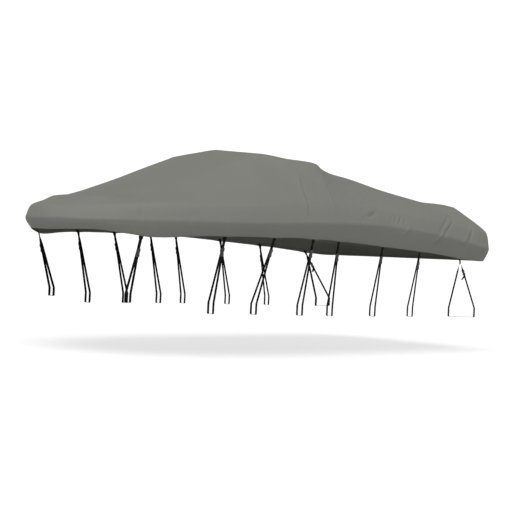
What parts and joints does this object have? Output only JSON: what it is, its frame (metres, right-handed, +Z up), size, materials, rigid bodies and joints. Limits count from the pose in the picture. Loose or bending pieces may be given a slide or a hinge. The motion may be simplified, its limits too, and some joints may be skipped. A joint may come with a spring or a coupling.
{
  "type": "boat cover",
  "caption": "Fitted canvas cover for an open runabout, with webbing tie-down straps and buckles that loop under a trailer's rails.",
  "frame": {"origin": "underside of the cloth at its peak, on the centreline, where a windshield holds it up", "axes": "+X from bow to stern, +Y to starboard, +Z up"},
  "size_m": [5.1423, 2.301, 1.4759],
  "materials": {
    "canvas": "woven",
    "webbing": "woven",
    "acetal": "satin"
  },
  "bodies": {
    "root": {"cover": "canvas", "tab_port_1": "webbing", "tab_port_2": "webbing", "tab_port_3": "webbing", "tab_port_4": "webbing", "tab_port_5": "webbing", "tab_port_6": "webbing", "tab_port_7": "webbing", "tab_port_8": "webbing", "tab_starboard_1": "webbing", "tab_starboard_2": "webbing", "tab_starboard_3": "webbing", "tab_starboard_4": "webbing", "tab_starboard_5": "webbing", "tab_starboard_6": "webbing", "tab_starboard_7": "webbing", "tab_starboard_8": "webbing", "strap_port_1": "webbing", "strap_port_2": "webbing", "strap_port_3": "webbing", "strap_port_4": "webbing", "strap_port_5": "webbing", "strap_port_6": "webbing", "strap_port_7": "webbing", "strap_port_8": "webbing", "strap_starboard_1": "webbing", "strap_starboard_2": "webbing", "strap_starboard_3": "webbing", "strap_starboard_4": "webbing", "strap_starboard_5": "webbing", "strap_starboard_6": "webbing", "strap_starboard_7": "webbing", "strap_starboard_8": "webbing", "buckle_port_1": "acetal", "buckle_port_2": "acetal", "buckle_port_3": "acetal", "buckle_port_4": "acetal", "buckle_port_5": "acetal", "buckle_port_6": "acetal", "buckle_port_7": "acetal", "buckle_port_8": "acetal", "buckle_starboard_1": "acetal", "buckle_starboard_2": "acetal", "buckle_starboard_3": "acetal", "buckle_starboard_4": "acetal", "buckle_starboard_5": "acetal", "buckle_starboard_6": "acetal", "buckle_starboard_7": "acetal", "buckle_starboard_8": "acetal"}
  },
  "joints": []
}
